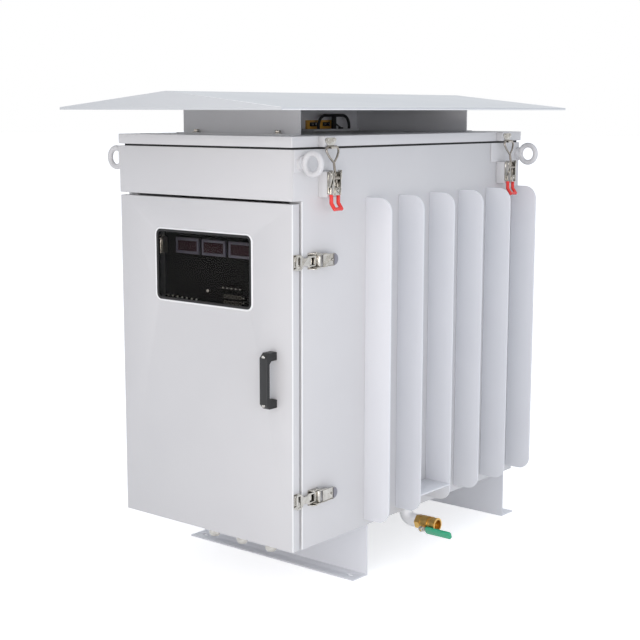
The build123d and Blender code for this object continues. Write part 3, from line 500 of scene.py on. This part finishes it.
def window_bead_painted_highlight():
    """The rolled edge of the sheet: a rounded bar bent round the window, half sunk in the door. Its
    white is a painted highlight.
    """
    low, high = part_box("window_gasket")
    door_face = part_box("door_panel")[0].y
    section = 0.0028
    opening_corner = 0.018
    bend = opening_corner + section
    half_w = (high.x - low.x) / 2 + section
    half_h = (high.z - low.z) / 2 + section
    middle = Vector(((low.x + high.x) / 2, door_face, (low.z + high.z) / 2))
    bm = bmesh.new()
    start = middle + Vector((half_w - bend, 0, half_h))
    place = Matrix.Translation(start) @ Matrix.Rotation(math.pi / 2, 4, "Y")
    made = bmesh.ops.create_circle(bm, segments=12, radius=section, matrix=place)
    ring = list(edges_of(made["verts"]))
    corners = ((1, 1, (0, 0, -1), half_h), (1, -1, (-1, 0, 0), half_w),
               (-1, -1, (0, 0, 1), half_h), (-1, 1, (1, 0, 0), half_w))
    for x_sign, z_sign, along, half in corners:
        centre = middle + Vector((x_sign * (half_w - bend), 0, z_sign * (half_h - bend)))
        spun = bmesh.ops.spin(bm, geom=ring, cent=centre, axis=BACK, angle=math.pi / 2, steps=8)
        ring = [item for item in spun["geom_last"] if isinstance(item, bmesh.types.BMEdge)]
        grown = bmesh.ops.extrude_edge_only(bm, edges=ring)
        moved = [item for item in grown["geom"] if isinstance(item, bmesh.types.BMVert)]
        bmesh.ops.translate(bm, verts=moved, vec=Vector(along) * 2 * (half - bend))
        ring = [item for item in grown["geom"] if isinstance(item, bmesh.types.BMEdge)
                and all(vert in moved for vert in item.verts)]
    bmesh.ops.remove_doubles(bm, verts=bm.verts, dist=0.00005)
    finish_piece("window_bead_painted_highlight", bm, [white_paint_and_painted_highlight], "door")


window_bead_painted_highlight()

# Rolled folds painted white as a painted highlight: the free edge of the door
low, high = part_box("door_panel")
fold_in = 0.0025
fold_proud = 0.0005
fold_reach = 0.0035
fold = bmesh.new()
add_block(fold, (high.x - fold_in, low.y - fold_proud, low.z),
          (high.x + fold_proud, low.y + fold_reach, high.z), 0.0010)
finish_piece("door_edge_painted_highlight", fold, [white_paint_and_painted_highlight], "door")

# The same folds and painted highlight on the front edges of the side walls, which start 37 mm
# behind the door's face
wall_low, wall_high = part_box("side_walls")
wall_edge_y = low.y + 0.037
wall_fold_top = high.z + 0.006
wall_fold_foot = wall_low.z + 0.001
folds = bmesh.new()
for side in (1, -1):
    x_edges = sorted((side * (wall_high.x - 0.0035), side * (wall_high.x + 0.0006)))
    add_block(folds, (x_edges[0], wall_edge_y - 0.0004, wall_fold_foot),
              (x_edges[1], wall_edge_y + 0.0045, wall_fold_top), 0.0014)
finish_piece("wall_edges_painted_highlight", folds, [white_paint_and_painted_highlight], "housing")

# Pivot heads of the lid clamps and rivets of their keepers
base_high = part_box("clamp_bases")[1]
keeper_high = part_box("clamp_keepers")[1]
pivot_x = base_high.x - 0.006
pivot_z = base_high.z - 0.010
lug_half = 0.0215
keeper_face = keeper_high.x - 0.012
keeper_rivet_z = keeper_high.z - 0.006
keeper_rivet_half = 0.013
rivets = bmesh.new()
for corner in CORNERS:
    side = 1 if corner.startswith("right") else -1
    low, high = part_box("clamp_handle_" + corner)
    y = (low.y + high.y) / 2
    for sign in (1, -1):
        add_rivet(rivets, (side * pivot_x, y + sign * lug_half, pivot_z), (0, sign, 0), 0.0042)
        add_rivet(rivets, (side * keeper_face, y + sign * keeper_rivet_half, keeper_rivet_z),
                  (side, 0, 0), 0.0034)
finish_piece("clamp_rivets", rivets, [nickel], "housing")

# Release catch on the web of each clamp handle: a button in a ring between two small flanges
web_inset = 0.0075
button_drop = 0.053
ring_proud = 0.0008
flange_half = 0.0105
flange_half_t = 0.0014
flange_proud = 0.0040
for corner in CORNERS:
    side = 1 if corner.startswith("right") else -1
    low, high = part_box("clamp_handle_" + corner)
    web_face = high.x - web_inset if side > 0 else low.x + web_inset
    flange_x = sorted((web_face, web_face + side * flange_proud))
    middle = (low.y + high.y) / 2
    button_z = high.z - button_drop
    outward = (side, 0, 0)
    catch = bmesh.new()
    add_disc(catch, (web_face, middle, button_z), outward, 0.0050, 0.0030, 24, 0.0040,
             soften=0.0004)
    add_ring(catch, (web_face + side * ring_proud, middle, button_z), outward,
             radius=0.0078, section=0.0012, around=28)
    for sign in (1, -1):
        edge = middle + sign * flange_half
        add_block(catch, (flange_x[0], edge - flange_half_t, high.z - 0.066),
                  (flange_x[1], edge + flange_half_t, high.z - 0.046), 0.0004)
    finish_piece("clamp_catch_" + corner, catch, [nickel], "clamp_handle_" + corner)

# Pivot heads, safety catch and grip tab of the door latches
pin_x = 0.005
pin_y = 0.006
pin_half = 0.023
tab_drop = 0.018
tab_cut = 0.017
catch_back = 0.026
stud_back = 0.040
flange_half = 0.0172
flange_half_t = 0.0008
heads = bmesh.new()
for level in ("lower", "upper"):
    low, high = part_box("latch_lever_" + level)
    z = (low.z + high.z) / 2
    for sign in (1, -1):
        add_rivet(heads, (low.x + pin_x, low.y + pin_y, z + sign * pin_half), (0, 0, sign), 0.0040)
    tab = bmesh.new()
    add_disc(tab, (high.x, high.y - tab_drop, z), RIGHT, 0.0165, 0.0026, 40, soften=0.0008)
    bmesh.ops.bisect_plane(tab, geom=list(tab.verts) + list(tab.edges) + list(tab.faces),
                           plane_co=(high.x, high.y - tab_cut, z), plane_no=FRONT,
                           clear_outer=True)
    rim = [edge for edge in tab.edges if edge.is_boundary]
    bmesh.ops.holes_fill(tab, edges=rim)
    finish_piece("latch_tab_" + level, tab, [grip_tab], "latch_lever_" + level)
    catch = bmesh.new()
    add_disc(catch, (high.x, high.y - catch_back, z), RIGHT, 0.0050, 0.0040, 4, 0.0026,
             soften=0.0005)
    add_disc(catch, (high.x, high.y - stud_back, z), RIGHT, 0.0026, 0.0016, 18, 0.0016)
    for sign in (1, -1):
        flange = z + sign * flange_half
        add_block(catch, (high.x - 0.001, low.y + 0.029, flange - flange_half_t),
                  (high.x + 0.0030, high.y - 0.019, flange + flange_half_t), 0.0004)
    finish_piece("latch_catch_" + level, catch, [nickel], "latch_lever_" + level)
finish_piece("latch_pivot_heads", heads, [nickel], "housing")

# Washer and nut on the valve stem, which leans forward and down
stem_tilt = math.radians(22)
stem = Vector((0, -math.cos(stem_tilt), -math.sin(stem_tilt)))
bore_centre = Vector((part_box("drain_valve")[0].x + 0.035, -0.17, 0.127))
nut_seat = bore_centre + stem * 0.0325
washer_t = 0.0015
nut = bmesh.new()
add_disc(nut, nut_seat, stem, 0.0105, washer_t, 28, soften=0.0003)
add_disc(nut, nut_seat + stem * washer_t, stem, 0.0085, 0.0055, 6, soften=0.0006)
finish_piece("valve_stem_nut", nut, [nickel], "valve_lever")

# Two screws on each terminal block
low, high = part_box("terminal_board")
screw_half = 0.009
screw_z = low.z + 0.016
screws = bmesh.new()
for y in (low.y + 0.028, low.y + 0.098):
    for step in (-screw_half, screw_half):
        add_disc(screws, (high.x, y + step, screw_z), RIGHT, 0.0042, 0.0022, 20, soften=0.0004)
finish_piece("terminal_screws", screws, [nickel], "housing")

# Screw caps on the door handle
low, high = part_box("door_handle")
middle = (low.x + high.x) / 2
cap_end = 0.012
cap_sunk = 0.0015
caps = bmesh.new()
for z in (low.z + cap_end, high.z - cap_end):
    add_disc(caps, (middle, low.y + cap_sunk, z), FRONT, 0.006, 0.001, 20, 0.0052)
finish_piece("handle_screw_caps", caps, [nickel], "door")


# Stage, lights and camera
def backdrop_rays(tree):
    """One for the rays that show the white background: direct, off metal and through the pane."""
    rays = add_node(tree, "ShaderNodeLightPath")
    direct = add_node(tree, "ShaderNodeMath", {"operation": "MAXIMUM"},
                      {0: rays.outputs["Is Camera Ray"], 1: rays.outputs["Is Transmission Ray"]})
    every = add_node(tree, "ShaderNodeMath", {"operation": "MAXIMUM"},
                     {0: direct.outputs[0], 1: rays.outputs["Is Glossy Ray"]})
    return every.outputs[0]


def stage_floor():
    """Pale seamless floor, white to the camera and soft grey under the lights."""
    half_width = 60
    glow = 0.55
    bm = bmesh.new()
    bmesh.ops.create_grid(bm, x_segments=1, y_segments=1, size=half_width)
    mesh_data = bpy.data.meshes.new("studio_floor")
    bm.to_mesh(mesh_data)
    bm.free()
    floor = bpy.data.objects.new("studio_floor", mesh_data)
    bpy.context.scene.collection.objects.link(floor)
    material, tree, shader = start_material("pale_studio_floor", "#F4F4F4", 0.85)
    strength = add_node(tree, "ShaderNodeMath", {"operation": "MULTIPLY"},
                        {0: backdrop_rays(tree), 1: glow})
    tree.links.new(strength.outputs[0], shader.inputs["Emission Strength"])
    shader.inputs["Emission Color"].default_value = (1, 1, 1, 1)
    mesh_data.materials.append(material)


def area_lamp(name, place, target, size, watts, colour):
    """A rectangular softbox that faces a point on the object."""
    light = bpy.data.lights.new(name, "AREA")
    light.shape = "RECTANGLE"
    light.size, light.size_y = size
    light.energy = watts
    light.color = linear(colour)[:3]
    lamp = bpy.data.objects.new(name, light)
    lamp.location = place
    lamp.rotation_euler = (Vector(target) - Vector(place)).to_track_quat("-Z", "Y").to_euler()
    bpy.context.scene.collection.objects.link(lamp)


stage_floor()

# A cool, even world that lights the object, and plain white for the rays that show it
world = bpy.data.worlds.new("studio_world")
bpy.context.scene.world = world
world.use_nodes = True
sky = world.node_tree
sky.nodes.clear()
lit = add_node(sky, "ShaderNodeBackground", None, {"Color": linear("#E6ECF6"), "Strength": 0.80})
white = add_node(sky, "ShaderNodeBackground", None, {"Color": (1, 1, 1, 1), "Strength": 1.0})
mixed = add_node(sky, "ShaderNodeMixShader", None,
                 {0: backdrop_rays(sky), 1: lit.outputs[0], 2: white.outputs[0]})
add_node(sky, "ShaderNodeOutputWorld", None, {"Surface": mixed.outputs[0]})

area_lamp("front_softbox", (0.9, -4.8, 2.1), (0.1, -0.5, 0.7), (3.4, 3.0), 29, "#FFEEDD")
area_lamp("low_softbox", (2.55, -3.5, 0.6), (0.35, -0.1, 0.4), (1.6, 0.9), 26, "#FFF9F6")
area_lamp("side_softbox", (4.3, -2.5, 1.36), (0.1, 0, 1.36), (2.4, 0.55), 30, "#F4F6FF")
area_lamp("top_softbox", (0.3, 0.2, 4.6), (0, 0, 1), (3.5, 3.5), 34, "#FFFFFF")

# Camera at the photograph's viewing angle, from a fit to the edges of the tank
pitch_down, roll_left, turn = 8.99, -0.08, 39.30
camera_data = bpy.data.cameras.new("photo_camera")
camera_data.lens = 75.0
camera_data.sensor_width = 36.0
camera = bpy.data.objects.new("photo_camera", camera_data)
camera.location = (2.737, -3.548, 1.4258)
camera.rotation_euler = (math.radians(90 - pitch_down), math.radians(roll_left),
                         math.radians(turn))
bpy.context.scene.collection.objects.link(camera)
bpy.context.scene.camera = camera
bpy.context.scene.view_settings.view_transform = "Standard"
